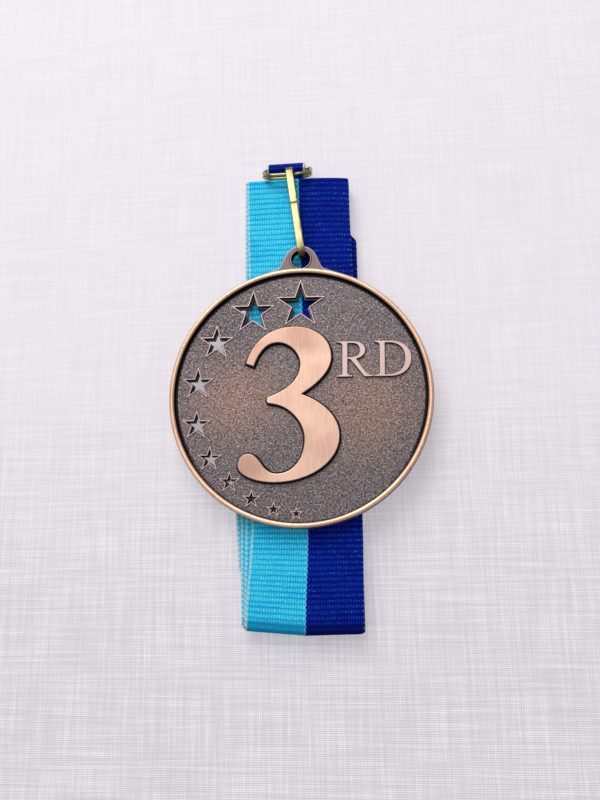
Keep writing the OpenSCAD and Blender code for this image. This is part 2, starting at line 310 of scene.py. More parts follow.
def antique_copper():
    """Wear runs from 0, black patina and painted shade in the corners, over 1, polished copper, to 1.2, the
    rim's crest with a painted highlight.
    """
    n = Nodes("antique_copper")
    place = n.add("TexCoord").outputs["Object"]
    wear = n.add("Attribute", attribute_name="wear").outputs["Fac"]
    grain = n.noise(place, 3300, 2.0, 0.8)
    cloud = n.noise(place, 120, 2.0)
    streak = n.noise(n.scaled(place, (5200, 260, 500)), 1.0, 3.0, 0.65)

    # The blast-grained field, rubbed warmer in two soft patches beside the numeral
    left = n.ramp(n.distance(place, (-0.0115, -0.0005, FIELD_Z * MM)), 0.0135, 0.001)
    right = n.ramp(n.distance(place, (0.0125, -0.003, FIELD_Z * MM)), 0.0145, 0.001)
    rubbed = n.math("ADD", left, right, clamp=True)
    field = n.blend(n.math("MULTIPLY", rubbed, 0.7), PATINA_FIELD, PATINA_WARM)
    grained = n.ramp(wear, 0.38, 0.44, 1.0, 0.15)
    # The field is darker and greyer towards the upper left
    upper_left_grey = n.ramp(n.distance(place, (-0.013, 0.015, FIELD_Z * MM)), 0.015, 0.002, 0.0, 0.3)
    field = n.blend(upper_left_grey, field, linear(62, 62, 72))
    field = n.blend(n.ramp(wear, 0.38, 0.44), field, CAST_SMOOTH)
    field = n.blend(n.math("MULTIPLY", n.ramp(grain, 0.48, 0.34, 0.0, 0.8), grained), field, PATINA_BLACK)
    crests = n.math("MULTIPLY_ADD", rubbed, 0.12, 0.66)
    crests = n.math("MULTIPLY", n.math("MULTIPLY", n.ramp(grain, 0.52, 0.68), grained), crests)
    field = n.blend(crests, field, COPPER_PINK)

    # Patina and painted shade keep the groove along the rim dark; the painted shade stands for the rim's
    # inner wall and its shadow, and fades towards the south edge
    radius = n.distance(n.scaled(place, (1.0, 1.0, 0.0)), (0, 0, 0))
    groove_patina_and_shade = n.math("MULTIPLY", n.ramp(radius, 0.0231, 0.0236), n.ramp(wear, 0.39, 0.41, 0.36, 0.0))
    north = n.add("SeparateXYZ", {"Vector": place}).outputs[1]
    groove_patina_and_shade = n.math("MULTIPLY", groove_patina_and_shade, n.ramp(north, -0.022, -0.006, 0.25, 1.0))
    edge = n.math("MULTIPLY_ADD", n.math("SUBTRACT", grain, 0.5), 0.3, n.math("SUBTRACT", wear, groove_patina_and_shade))
    colour = n.blend(n.ramp(edge, 0.02, 0.3), PATINA_BLACK, field)
    colour = n.blend(n.ramp(wear, 0.4, 0.7), colour, COPPER_PINK)
    colour = n.blend(n.ramp(wear, 0.72, 0.95), colour, COPPER_PEACH)
    # The rim's crest carries a painted highlight over its worn polish
    colour = n.blend(n.ramp(wear, 1.0, 1.2), colour, COPPER_HIGHLIGHT)
    polished = n.ramp(wear, 0.6, 0.9)
    toned = n.math("MULTIPLY_ADD", n.math("SUBTRACT", cloud, 0.5), 1.2, streak)
    colour = n.blend(n.math("MULTIPLY", polished, n.ramp(toned, 0.3, 0.85, 0.0, 0.4)), colour,
                     linear(160, 116, 102))

    # Painted shade darkens the numeral's top at its hook, its ball and its crown
    hook = n.ramp(n.distance(place, (-0.0085, 0.0085, RIM_Z * MM)), 0.0085, 0.001)
    ball = n.ramp(n.distance(place, (-0.0095, -0.0135, RIM_Z * MM)), 0.006, 0.001)
    crown = n.ramp(n.distance(place, (0.0005, 0.0115, RIM_Z * MM)), 0.0055, 0.001)
    numeral_shade = n.math("MAXIMUM", hook, n.math("MAXIMUM", ball, crown))
    numeral_shade = n.math("MULTIPLY", numeral_shade, n.ramp(wear, 0.8, 0.9, 0.0, 0.42))
    numeral_shade = n.math("MULTIPLY", numeral_shade, n.ramp(wear, 1.02, 1.1, 1.0, 0.0))
    colour = n.blend(numeral_shade, colour, linear(156, 112, 92))
    rough = n.math("MULTIPLY_ADD", polished, -0.2, 0.55)
    rough = n.math("MULTIPLY_ADD", n.math("SUBTRACT", streak, 0.5), 0.16, rough)
    sand = n.math("MULTIPLY", grain, grained)
    height = n.math("MULTIPLY_ADD", n.math("MULTIPLY", streak, polished), 0.15, sand)
    height = n.math("MULTIPLY_ADD", n.math("MULTIPLY", cloud, polished), 1.6, height)
    n.surface(base_color=colour, roughness=rough, metallic=n.ramp(wear, 0.45, 0.7, 0.85, 0.62),
              normal=n.bump(height, 0.00011, 0.9))
    return n.material


def pale_brass():
    """Wear runs from 0, olive tarnish and, on the link, painted shade, to 1, bare brass."""
    n = Nodes("pale_brass")
    place = n.add("TexCoord").outputs["Object"]
    wear = n.add("Attribute", attribute_name="wear").outputs["Fac"]
    cloud = n.noise(place, 420, 3.0, 0.6)
    scratch = n.noise(n.scaled(place, (6000, 700, 6000)), 1.0, 2.0)
    rubbed = n.math("MULTIPLY_ADD", n.math("SUBTRACT", cloud, 0.5), 0.9, wear)
    colour = n.blend(n.ramp(rubbed, 0.1, 0.8), BRASS_OLIVE, BRASS_PALE)
    rough = n.math("MULTIPLY_ADD", scratch, 0.24, 0.24)
    height = n.math("MULTIPLY_ADD", cloud, 2.0, scratch)
    n.surface(base_color=colour, roughness=rough, metallic=1.0, normal=n.bump(height, 0.00002, 0.6))
    return n.material


def ribbon_weave():
    """The Weave map holds millimetres across the ribbon, and ribs along it. Wear 1 is royal blue all over."""
    n = Nodes("ribbon_weave")
    weave = n.add("UVMap", uv_map="Weave").outputs[0]
    forced = n.add("Attribute", attribute_name="wear").outputs["Fac"]
    fold_shade = n.add("Attribute", attribute_name="fold_shade").outputs["Fac"]
    parts = n.add("SeparateXYZ", {"Vector": weave})
    across, along = parts.outputs[0], parts.outputs[1]
    wander = n.noise(n.scaled(weave, (0.7, 2.5, 1.0)), 1.0, 2.0)
    # The ribs run a little unevenly across the ribbon
    uneven = n.noise(n.scaled(weave, (0.35, 1.0, 1.0)), 1.0, 3.0, 0.7)
    along = n.math("MULTIPLY_ADD", n.math("SUBTRACT", uneven, 0.5), 0.55, along)
    rib = n.math("COSINE", n.math("MULTIPLY", along, TAU))
    yarn = n.math("SINE", n.math("MULTIPLY_ADD", wander, 9.0, n.math("MULTIPLY", across, TAU / 0.47)))
    fleck = n.noise(n.scaled(weave, (3.4, 2.4, 1.0)), 1.0, 2.0, 0.8)
    cloud = n.noise(n.scaled(weave, (0.1, 0.22, 1.0)), 1.0, 2.0)

    # Light blue to the left of the middle, royal blue to its right and all round the sewn eye
    seam = n.math("MULTIPLY_ADD", rib, 0.1, n.math("ADD", across, -0.25))
    royal = n.math("MAXIMUM", n.ramp(seam, -0.05, 0.05), forced)
    sky = n.blend(n.ramp(cloud, 0.35, 0.65), SKY_BLUE, linear(48, 212, 255))
    navy = n.blend(n.ramp(cloud, 0.35, 0.65), ROYAL_BLUE, linear(0, 28, 140))
    colour = n.blend(royal, sky, navy)
    thread = n.math("MULTIPLY", n.ramp(yarn, -0.5, 0.7), n.ramp(rib, -0.6, 0.5))
    thread = n.math("MULTIPLY", thread, n.ramp(fleck, 0.3, 0.55, 0.25, 1.0))
    light = n.blend(royal, linear(112, 238, 255), linear(6, 62, 190))
    colour = n.blend(n.math("MULTIPLY", thread, 0.9), colour, light)
    dark = n.blend(royal, linear(0, 128, 182), linear(1, 8, 84))
    gaps = n.math("MAXIMUM", n.ramp(rib, -0.5, -1.0, 0.0, 0.6), n.ramp(fleck, 0.44, 0.3, 0.0, 0.6))
    gaps = n.math("MAXIMUM", gaps, n.ramp(yarn, -0.5, -1.0, 0.0, 0.6))
    colour = n.blend(gaps, colour, dark)
    speck = n.math("MULTIPLY", n.ramp(fleck, 0.6, 0.7), n.ramp(rib, 0.0, 0.8, 0.0, 0.65))
    colour = n.blend(speck, colour, n.blend(royal, linear(206, 246, 255), linear(120, 160, 226)))
    # Painted shade darkens the upper plies where they turn down at the lower fold
    shaded = n.blend(royal, linear(0, 122, 170), linear(1, 4, 78))
    colour = n.blend(n.math("MULTIPLY", fold_shade, 0.8), colour, shaded)

    # Pale selvedges and pale stitches, and a painted highlight along the seam between the two blues
    left_rim = n.math("MULTIPLY_ADD", rib, -0.08, n.math("MULTIPLY", across, -1.0))
    both_rims = n.math("MULTIPLY", n.ramp(n.math("ABSOLUTE", across), 9.6, 9.8), forced)
    dashes = n.ramp(left_rim, 10.1, 10.22, 0.0, 0.95)
    dashes = n.math("MULTIPLY", dashes, n.ramp(rib, -0.5, 0.3, 0.35, 1.0))
    colour = n.blend(n.math("MAXIMUM", dashes, both_rims), colour, SELVEDGE)
    stitched = n.ramp(n.math("ABSOLUTE", across), 10.38, 10.42)
    stitched = n.math("MULTIPLY", stitched, n.ramp(rib, 0.0, 0.9, 0.0, 0.4))
    colour = n.blend(stitched, colour, linear(196, 212, 232))
    # Painted highlight: a pale line beside the seam, where the yarns at the edge of the light blue catch the
    # light
    seam_highlight = n.ramp(n.math("ABSOLUTE", n.math("ADD", seam, 0.14)), 0.05, 0.13, 1.0, 0.0)
    seam_highlight = n.math("MULTIPLY", seam_highlight, n.math("SUBTRACT", 1.0, forced))
    colour = n.blend(n.math("MULTIPLY", seam_highlight, n.ramp(rib, -0.6, 0.6, 0.1, 0.5)), colour,
                     linear(170, 230, 244))

    height = n.math("MULTIPLY_ADD", thread, 0.7, n.math("MULTIPLY", fleck, 0.6))
    height = n.math("MULTIPLY_ADD", rib, 0.25, height)
    n.surface(base_color=colour, roughness=0.8, normal=n.bump(height, 0.00009, 0.9))
    n.shader.inputs["Specular IOR Level"].default_value = 0.05
    return n.material


def sewing_thread():
    n = Nodes("sewing_thread")
    place = n.add("TexCoord").outputs["Object"]
    ply = n.add("TexWave", {"Vector": place, "Scale": 1800.0, "Distortion": 1.5}, bands_direction="DIAGONAL")
    colour = n.blend(ply.outputs["Fac"], linear(4, 18, 92), linear(22, 60, 160))
    n.surface(base_color=colour, roughness=0.7, normal=n.bump(ply.outputs["Fac"], 0.00004))
    return n.material


# ---------------------------------------------------------------- the casting
FIELD_Z = RIM_Z - 1.0
BACK_Z = DISC_Z + 0.3
PARTING_Z = mix(BACK_Z, FIELD_Z, 0.55)
BEAD_R = 0.5
# Wear of the casting's surfaces; DARK is patina with painted shade, and the crest's level above WORN is a
# painted highlight
CREST_HIGHLIGHT, WORN, TOP, BARE, SMOOTH, FIELD, DARK = 1.2, 1.0, 0.97, 0.62, 0.46, 0.36, 0.0

# Stars: direction in degrees, distance from the centre, radius of the outline's tips
STARS = [
    (90, 17.7, 5.2), (119.5, 18.7, 4.7), (147.5, 19.2, 3.7), (173.5, 19.7, 3.4), (196.5, 20.4, 3.1),
    (216, 20.8, 2.7), (232, 21, 2.3), (246, 21.5, 2), (258, 22, 1.7), (269, 22.3, 1.5),
]
STAR_WAIST = 0.382
TIP_PULL = 1 / math.sin(math.radians(18))

NUMERAL = outline(
    (-10.3, 5.9), ((-9.1, 10.3), (-5.8, 13.1), (-1.1, 13.1)), ((3, 13.1), (6.05, 10.6), (6.05, 7)),
    ((6.05, 4.2), (3.4, 1.7), (0.4, -0.15)), ((4, -1.3), (7.6, -4.2), (7.6, -8)),
    ((7.6, -13), (2, -16.7), (-4.5, -16.7)), ((-7.6, -16.7), (-11.4, -15.6), (-11.4, -13.5)),
    ((-11.4, -12.2), (-10.6, -11.35), (-9.4, -11.35)), ((-8.3, -11.35), (-7.5, -12.4), (-6.8, -13.35)),
    ((-6.1, -14.4), (-5.2, -15.05), (-4, -15.05)), ((-1, -15.05), (1.05, -12.2), (1.05, -8.6)),
    ((1.05, -5.9), (-1.3, -2.9), (-4.2, -2.15)), ((-4.8, -2), (-5.3, -1.95), (-5.9, -1.85)),
    ((-6.3, -1.7), (-6.3, -0.8), (-5.9, -0.65)), ((-2.4, 0.6), (0.1, 2.6), (0.1, 5.7)),
    ((0.1, 7.7), (-1.9, 9.95), (-4.2, 9.95)), ((-6.5, 9.95), (-7.8, 8), (-8.75, 5.3)),
)

FOOT_SERIF = ((0.95, 0.35), (0.6, 0.25), (0, 0.22))
HEAD_SERIF = ((0.6, 6.6), (0.95, 6.5), (0.95, 6.05))
LETTER_R = [
    outline((0, 0), (2.85, 0), (2.85, 0.22), ((2.3, 0.25), (1.95, 0.35), (1.95, 0.8)), (1.95, 3.4),
            (2.45, 3.4), (5.1, 0), (6.7, 0), (6.7, 0.24), ((6.2, 0.28), (5.8, 0.42), (5.5, 0.75)),
            ((4.9, 1.4), (4.2, 2.6), (3.6, 3.45)), ((4.6, 3.7), (5.3, 4.3), (5.3, 5.15)),
            ((5.3, 6.1), (4.6, 6.85), (3, 6.85)), (0, 6.85), (0, 6.63), HEAD_SERIF, (0.95, 0.8), FOOT_SERIF),
    outline((1.95, 3.72), (2.8, 3.72), ((3.7, 3.72), (4.25, 4.2), (4.25, 5.1)),
            ((4.25, 6), (3.8, 6.5), (2.8, 6.5)), (1.95, 6.5)),
]
LETTER_D = [
    outline((0, 0), (2.9, 0), ((5.3, 0), (6.9, 1.4), (6.9, 3.5)), ((6.9, 5.4), (5.5, 6.85), (2.9, 6.85)),
            (0, 6.85), (0, 6.63), HEAD_SERIF, (0.95, 0.8), FOOT_SERIF),
    outline((1.95, 0.35), (2.7, 0.35), ((4.6, 0.35), (5.7, 1.5), (5.7, 3.45)),
            ((5.7, 5.3), (4.7, 6.5), (2.7, 6.5)), (1.95, 6.5)),
]
# Base line of the letters, and the left end of each
LETTER_BASE, LETTER_R_X, LETTER_D_X = 3.15, 7.1, 14.1


def moved(loop, x, y):
    return [(px + x, py + y) for px, py in loop]


def star(r, x, y):
    angles = [(r if i % 2 == 0 else r * STAR_WAIST, math.radians(90 + 36 * i)) for i in range(10)]
    return [(x + q * math.cos(a), y + q * math.sin(a)) for q, a in angles]


def raised_figure(b, loops, top, edge, wear):
    """A raised figure with drafted walls and a rounded edge. loops are its outline and its holes."""
    caps = []
    for k, loop in enumerate(loops):
        hole = k > 0
        if (area_of(loop) < 0) != hole:
            loop = loop[::-1]
        foot = b.ring(at_height(inset(loop, -0.06), FIELD_Z - 0.3), DARK)
        last = b.ring(at_height(inset(loop, -0.04), FIELD_Z + 0.05), DARK)
        b.bridge(foot, last)
        for turn in (0, 30, 60, 90):
            a = math.radians(turn)
            ring = b.ring(at_height(inset(loop, edge * (1 - math.cos(a))), top - edge * (1 - math.sin(a))),
                          mix(0.3, WORN, smooth(turn / 60)))
            b.bridge(last, ring)
            last = ring
        rim = b.ring(at_height(inset(loop, edge * 1.2), top), wear)
        b.bridge(last, rim)
        caps.append((rim, foot))
    b.fill([c[0] for c in caps])
    b.fill([c[1] for c in caps], up=False)


def star_frame(b, x, y, r):
    """The raised line round a star and the wall of its hole, with a ledge half way down."""
    line, top = 0.22, FIELD_Z + 0.2
    ledge = r * (0.05 if r > 2.5 else 0.1)
    # Each step: how far inside the outline, height and wear
    steps = [
        (0.0, FIELD_Z - 0.3, DARK), (0.0, FIELD_Z + 0.02, 0.1), (0.02, top - 0.05, 0.6), (0.05, top, 0.74),
        (line - 0.04, top, 0.74), (line, top - 0.05, 0.4), (line + 0.02, FIELD_Z - 0.1, DARK),
        (line + 0.04, PARTING_Z + 0.1, DARK), (line + 0.06, PARTING_Z + 0.04, 0.4),
        (line + ledge, PARTING_Z, SMOOTH), (line + ledge + 0.03, PARTING_Z - 0.1, 0.2),
        (line + ledge, BACK_Z + 0.1, DARK), (line + ledge - 0.04, BACK_Z - 0.06, 0.2),
        (0.0, BACK_Z - 0.06, 0.3), (0.0, BACK_Z + 0.3, DARK),
    ]
    rings = [b.ring(at_height(star(r - d * TIP_PULL, x, y), z), w) for d, z, w in steps]
    for one, next_one in zip(rings, rings[1:] + rings[:1]):
        b.bridge(one, next_one)


def lathe(b, section, x, y, parts):
    """Turns a closed section of (radius, height, wear), drawn against the clock, about a vertical axis."""
    circle = [(math.cos(TAU * i / parts), math.sin(TAU * i / parts)) for i in range(parts)]
    rings = [b.ring([(x + r * c, y + r * s, z) for c, s in circle], w) for r, z, w in section]
    for one, next_one in zip(rings, rings[1:] + rings[:1]):
        b.bridge(one, next_one)


def rim_section():
    """The rim from the back recess, round the outside, over the bead and down to the field."""
    bead_x = DISC_R - 0.05 - BEAD_R
    inner = bead_x - BEAD_R
    outside = [
        (inner - 0.25, BACK_Z, 0.2), (inner - 0.1, DISC_Z + 0.12, 0.4), (inner + 0.05, DISC_Z, BARE),
        (DISC_R - 0.3, DISC_Z, 0.6), (DISC_R - 0.08, DISC_Z + 0.08, 0.7), (DISC_R, DISC_Z + 0.3, 0.5),
        (DISC_R, RIM_Z - BEAD_R - 0.25, 0.45), (DISC_R - 0.08, RIM_Z - BEAD_R - 0.08, 0.15),
    ]
    bead = []
    # Painted highlight and shade: the bead is brightest on its top, as worn polish with a painted highlight,
    # and darker on its sides as painted shade
    for turn in range(-10, 181, 10):
        a = math.radians(turn)
        wear = mix(0.25, CREST_HIGHLIGHT, smooth((math.sin(a) - 0.25) / 0.45))
        bead.append((bead_x + BEAD_R * math.cos(a), RIM_Z - BEAD_R + BEAD_R * math.sin(a), wear))
    inside_wall = [(inner, RIM_Z - BEAD_R - 0.1, 0.1), (inner - 0.03, FIELD_Z + 0.12, DARK),
                   (inner - 0.14, FIELD_Z + 0.01, DARK), (inner - 0.14, FIELD_Z - 0.3, DARK),
                   (inner - 0.25, FIELD_Z - 0.4, DARK)]
    return outside + bead + inside_wall


def lug_loop():
    """A round head, straight leaning sides and a foot that runs out along the rim."""
    head_y = LUG_BAR_Y + LUG_BAR / 2 - LUG_HEAD_R
    foot_a = math.acos(LUG_FOOT / DISC_R)
    head_at = Vector((LUG_HEAD_R * math.cos(LUG_LEAN), head_y + LUG_HEAD_R * math.sin(LUG_LEAN)))
    foot_at = Vector((DISC_R * math.cos(foot_a), DISC_R * math.sin(foot_a)))
    to_head = Vector((-math.sin(LUG_LEAN), math.cos(LUG_LEAN)))
    to_foot = Vector((math.sin(foot_a), -math.cos(foot_a)))
    gap = foot_at - head_at
    down = (gap.x * to_foot.y - gap.y * to_foot.x) / (to_head.y * to_foot.x - to_head.x * to_foot.y)
    half = math.acos(to_head.dot(to_foot)) / 2
    middle = head_at - down * to_head + LUG_HOLLOW_R / math.sin(half) * (to_head + to_foot).normalized()
    foot_deg, lean_deg = math.degrees(foot_a), math.degrees(LUG_LEAN)
    side = [tuple(foot_at)] + arc(middle.x, middle.y, LUG_HOLLOW_R, 180 + foot_deg, 180 + lean_deg, 10)
    head = arc(0, head_y, LUG_HEAD_R, lean_deg, 180 - lean_deg, 40)
    other = [(-x, y) for x, y in side[::-1]]
    root = arc(0, 0, DISC_R - 0.95, 180 - foot_deg, foot_deg, 12)
    return side + head + other + root


def lug(b):
    """The plate with its rounded edges, and the hole with a fine raised line round it."""
    low, high = LINK_FOOT[2] - LUG_T / 2, LINK_FOOT[2] + LUG_T / 2
    hole_r = LUG_HOLE_R
    hole_y = LUG_BAR_Y - LUG_BAR / 2 - hole_r
    loop = lug_loop()
    edge = 0.28
    rings = []
    for turn in range(-90, 91, 15):
        a = math.radians(turn)
        z = high - edge + edge * math.sin(a) if turn > 0 else low + edge + edge * math.sin(a)
        wear = 0.47 + 0.3 * math.cos(a) * (1 if turn >= 0 else 0.5)
        rings.append(b.ring(at_height(inset(loop, edge * (1 - math.cos(a))), z), wear))
    for one, next_one in zip(rings, rings[1:]):
        b.bridge(one, next_one)
    inner = b.ring(at_height(inset(loop, edge * 1.4), high), SMOOTH)
    b.bridge(rings[-1], inner)
    cut = arc(0, hole_y, hole_r + 0.3, 0, 360, 64)[:-1]
    cut_top = b.ring(at_height(cut, high), SMOOTH)
    cut_low = b.ring(at_height(cut, low), 0.3)
    b.fill([inner, cut_top])
    b.fill([rings[0], cut_low], up=False)
    b.bridge(cut_low, cut_top)
    boss = [
        (hole_r, low + 0.22, 0.3), (hole_r + 0.05, low + 0.08, 0.4), (hole_r + 0.16, low, 0.5),
        (hole_r + 0.5, low - 0.005, 0.4), (hole_r + 0.5, high + 0.005, 0.2),
        (hole_r + 0.42, high + 0.01, DARK), (hole_r + 0.38, high + 0.06, 0.3),
        (hole_r + 0.32, high + 0.1, BARE), (hole_r + 0.24, high + 0.1, BARE),
        (hole_r + 0.18, high + 0.05, 0.3), (hole_r + 0.14, high, DARK),
        (hole_r + 0.05, high - 0.08, 0.1), (hole_r, high - 0.22, DARK),
    ]
    lathe(b, boss, 0, hole_y, 64)


def field_plate(b, spots, figures):
    """The plate between the rim, with star holes and with patina and painted shade left dark beside every
    raised edge.
    """
    outer = arc(0, 0, DISC_R - BEAD_R - 0.3, 0, 360, 144)[:-1]
    edge = b.ring(at_height(outer, FIELD_Z), FIELD)
    top, counters = [edge], []
    for loops, border in figures:
        under = []
        for k, loop in enumerate(loops):
            if (area_of(loop) < 0) != (k > 0):
                loop = loop[::-1]
            near = b.ring(at_height(inset(loop, -0.04), FIELD_Z), DARK)
            middle = b.ring(at_height(inset(loop, -0.7 * border), FIELD_Z), 0.03)
            far = b.ring(at_height(inset(loop, -border), FIELD_Z), FIELD)
            b.bridge(far, middle)
            b.bridge(middle, near)
            under.append(near)
            if k:
                counters.append(far)
            else:
                top.append(far)
        b.fill(under)
    walls = []
    for x, y, r in spots:
        near = b.ring(at_height(star(r - 0.1 * TIP_PULL, x, y), FIELD_Z), DARK)
        far = b.ring(at_height(star(r + 0.05, x, y), FIELD_Z), FIELD)
        b.bridge(far, near)
        top.append(far)
        low = b.ring(at_height(star(r - 0.1 * TIP_PULL, x, y), BACK_Z), FIELD)
        b.bridge(near, low)
        walls.append(low)
    b.fill(top)
    for far in counters:
        b.fill([far])
    back = b.ring(at_height(outer, BACK_Z), FIELD)
    b.bridge(back, edge)
    b.fill([back] + walls, up=False)


def medal_disc():
    b = Build()
    lathe(b, rim_section(), 0, 0, 288)
    spots = [(d * math.cos(math.radians(a)), d * math.sin(math.radians(a)), r) for a, d, r in STARS]
    for x, y, r in spots:
        star_frame(b, x, y, r)
    letters = [[moved(loop, x, LETTER_BASE) for loop in letter]
               for letter, x in ((LETTER_R, LETTER_R_X), (LETTER_D, LETTER_D_X))]
    field_plate(b, spots, [([NUMERAL], 0.4)] + [(letter, 0.12) for letter in letters])
    raised_figure(b, [NUMERAL], RIM_Z - 0.1, 0.16, TOP)
    for letter in letters:
        raised_figure(b, letter, FIELD_Z + 0.5, 0.07, 0.7)
    lug(b)
    made = b.object("medal_casting", COPPER, MEDAL_TURN)
    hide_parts("medal_disc")
    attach(made, "medal")


# ---------------------------------------------------------------- link and ring
def sweep(b, path, sections, wears, side, closed=False):
    """Carries a closed section along a route. Its points are (out, up), where up lies nearest side."""
    rings = []
    n = len(path)
    for i in range(n):
        before = path[i - 1] if i or closed else path[i]
        after = path[(i + 1) % n] if i < n - 1 or closed else path[i]
        along = (after - before).normalized()
        out = along.cross(side).normalized()
        up = out.cross(along)
        rings.append(b.ring([tuple(path[i] + u * out + v * up) for u, v in sections[i]], wears[i]))
    for one, next_one in zip(rings, rings[1:] + (rings[:1] if closed else [])):
        b.bridge(one, next_one)
    if not closed:
        b.face(rings[0][::-1])
        b.face(rings[-1])


def rounded_strip(width, thick, r):
    corners = [(thick / 2 - r, width / 2 - r, 0), (-thick / 2 + r, width / 2 - r, 90),
               (-thick / 2 + r, -width / 2 + r, 180), (thick / 2 - r, -width / 2 + r, 270)]
    return [p for x, y, a in corners for p in arc(x, y, r, a, a + 90, 4)]


def strap_link():
    """A strip bent into a long loop, open at a butt seam in its upper leg."""
    foot, head = Vector(LINK_FOOT), Vector(LINK_HEAD)
    along = head - foot
    length = along.length
    along.normalize()
    up = Vector((0, 0, 1))
    r = box_mm("strap_link")[1][2] - LINK_FOOT[2] - LINK_T / 2
    seam_at, seam = length * 0.58, 0.24

    def at(d, h):
        return foot + along * d + up * h

    upper = (seam_at + seam, seam_at + seam + 0.05, seam_at + 0.6, length * 0.75, length * 0.9, length)
    lower = (length * 0.15, length * 0.35, seam_at - 0.5, seam_at - 0.05, seam_at)
    bends = [math.radians(a) for a in range(10, 181, 10)]
    rising = [at(d, r) for d in upper]
    head_end = [at(length + r * math.sin(a), r * math.cos(a)) for a in bends]
    under = [at(length * k, -r) for k in (0.8, 0.6, 0.4, 0.2, 0)]
    foot_end = [at(-r * math.sin(a), -r * math.cos(a)) for a in bends]
    back = [at(d, r) for d in lower]
    path = rising + head_end + under + foot_end + back
    b = Build()
    wide, narrow = rounded_strip(LINK_W, LINK_T, 0.1), rounded_strip(LINK_W - 0.06, LINK_T, 0.1)
    sections, wears = [], []
    for i, p in enumerate(path):
        d = (p - foot).dot(along)
        on_back = i >= len(path) - len(back) - len(foot_end) // 2
        sections.append(narrow if on_back else wide)
        # Painted shade: the strip is darker olive at its sides, round its bends and at its ends and seam,
        # over the brass's olive tarnish
        bend_shade = max(smooth((d - length + 0.6) / 1.2), smooth((0.8 - d) / 1.4))
        if i in (0, 1, len(path) - 2, len(path) - 1) or abs(d - seam_at) < 0.01 * length:
            bend_shade = 1.3
        wears.append([mix(mix(0.35, 0.95, smooth((LINK_W / 2 + 0.01 - abs(v)) / 0.22)), 0.3, 0.75 * bend_shade)
                      for u, v in wide])
    sweep(b, path, sections, wears, side=along.cross(up))
    made = b.object("link_strip", BRASS)
    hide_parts("strap_link")
    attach(made, "link")


def split_ring():
    """Two turns of wire, pressed oblong, with one step from the first turn to the second."""
    h, corner = HALF_TURN_STEP, RING_CORNER
    r = math.dist(LINK_HEAD[1:], EYE_AT[1:]) / 2
    s = (RING_HIGH[0] - RING_LOW[0]) / 2 - WIRE_R - r
    t, low = s + r - corner, corner - r
    back = arc(t, low, corner, 0, -90, 14) + arc(-t, low, corner, -90, -180, 14) + arc(-s, 0, r, 180, 90, 16)
    flat = [(x, y, h) for x, y in arc(s, 0, r, 60, 0, 10)[:-1] + back]
    step_over = ((0.4, 1), (0.55, 0.8), (0.7, 0.35), (0.85, -0.3), (1, -0.8))
    flat += [(k * s, r, lift * h) for k, lift in step_over]
    flat += [(x, y, -h) for x, y in arc(s, 0, r, 75, 0, 12)[:-1] + back]
    flat.append((0.2 * s, r, -h))
    tilt = math.atan2(LINK_HEAD[2] - EYE_AT[2], LINK_HEAD[1] - EYE_AT[1])
    c, q = math.cos(tilt), math.sin(tilt)
    path = [Vector(EYE_AT) + Vector((x, (y + r) * c - z * q, (y + r) * q + z * c)) for x, y, z in flat]
    section = arc(0, 0, WIRE_R, 0, 360, 20)[:-1]
    wears = [mix(0.35, 0.8, 0.5 + 0.5 * math.sin(i * 0.7)) for i in range(len(path))]
    b = Build()
    sweep(b, path, [section] * len(path), wears, side=Vector((0, -q, c)))
    made = b.object("ring_wire", BRASS)
    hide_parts("split_ring")
    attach(made, "ring")


# ---------------------------------------------------------------- the ribbon
# The plies that the ribbon runs through from one end to the other; ply 0 lies lowest
PLY_ORDER = (0, 3, 4, 7, 6, 5, 2, 1)
PLY_PITCH = (STACK_H + 0.05) / len(PLY_ORDER)
TOP_Y = EYE_AT[1] - 3.16
EYE_X, EYE_R = EYE_AT[0] - 0.425, 1.065
LOW_Y = RIBBON_LOW[1]
FOLD_OUT = 1.5 * PLY_PITCH + PLY_T / 2
RIB = 1.0

# How far each ply lies to the side and how wide it lies, at places along the bundle
DRIFT = {
    0: [(-44, 0.2), (10, 0.1), (45, -0.3)],
    1: [(-44, -0.2), (45, -0.3)],
    2: [(-44, -0.3), (28, 0.4), (34, -0.3), (45, -0.3)],
    3: [(-44, 0.1), (32.2, 0.9), (34.2, -0.3), (45, -0.3)],
    4: [(-44, -0.9), (-34, -1.2), (-32.5, -2.0), (-20, -2.5), (10, -0.6), (45, -0.6)],
    5: [(-44, -1.4), (-20, -1.5), (10, -0.5), (45, -0.3)],
    6: [(-44, -0.8), (-20, -0.5), (45, -0.5)],
    7: [(-44, -0.2), (-24, 0.55), (20, 0.1), (45, -0.2)],
}
TOP_WIDTH = [(-44, 21.4), (-24, 20.5), (45, 20.55)]


def between(stops, y):
    if y <= stops[0][0]:
        return stops[0][1]
    for (ya, a), (yb, b) in zip(stops, stops[1:]):
        if y <= yb:
            return mix(a, b, smooth((y - ya) / (yb - ya)))
    return stops[-1][1]


def drift(ply, y):
    return between(DRIFT[ply], y)


def width(ply, y):
    return between(TOP_WIDTH, y) if ply == 7 else RIBBON_W - 0.2


def pitch(ply, y):
    """The ribs lie a little further apart where the top ply is stretched towards the ring."""
    return mix(0.97, 1.13, smooth((y + 44) / 89)) if ply == 7 else RIB


def ply_z(ply):
    return ply * PLY_PITCH + PLY_T / 2


